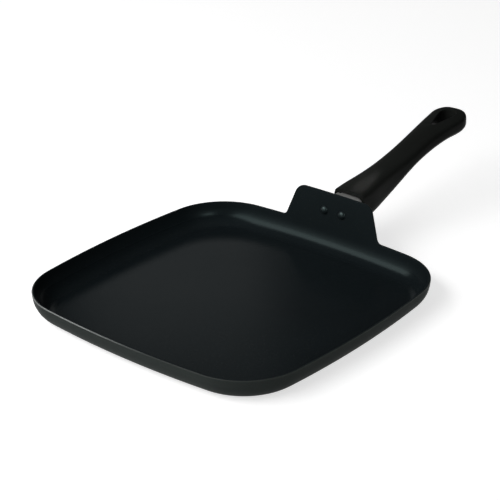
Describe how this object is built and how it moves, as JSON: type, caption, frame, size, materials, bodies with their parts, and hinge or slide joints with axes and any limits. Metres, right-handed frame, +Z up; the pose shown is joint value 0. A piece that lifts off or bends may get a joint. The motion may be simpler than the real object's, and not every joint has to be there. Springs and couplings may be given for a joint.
{
  "type": "square griddle pan",
  "caption": "Square low-walled griddle pan with rounded corners, a lug on the back wall, a riveted steel bracket and a moulded grip with a teardrop hang hole.",
  "frame": {"origin": "middle of the pan's flat underside, on the surface the pan stands on", "axes": "+Y from the pan towards the end of the grip, +Z up, +X to the right when looking along +Y"},
  "size_m": [0.2794, 0.4785, 0.0799],
  "materials": {
    "pan_coating": "dark satin non-stick coating over pressed aluminium sheet",
    "rivet_coating": "dark coated aluminium, smooth domed head",
    "bracket_steel": "plated pressed steel, bare",
    "fastener_steel": "plated steel",
    "grip_phenolic": "black phenolic moulding, semi-gloss"
  },
  "bodies": {
    "root": {"pan_body": "pan_coating", "rivet_left": "rivet_coating", "rivet_right": "rivet_coating", "handle_bracket": "bracket_steel", "weld_nut": "fastener_steel", "handle_grip": "grip_phenolic", "lock_washer": "fastener_steel", "handle_screw": "fastener_steel"}
  },
  "joints": []
}
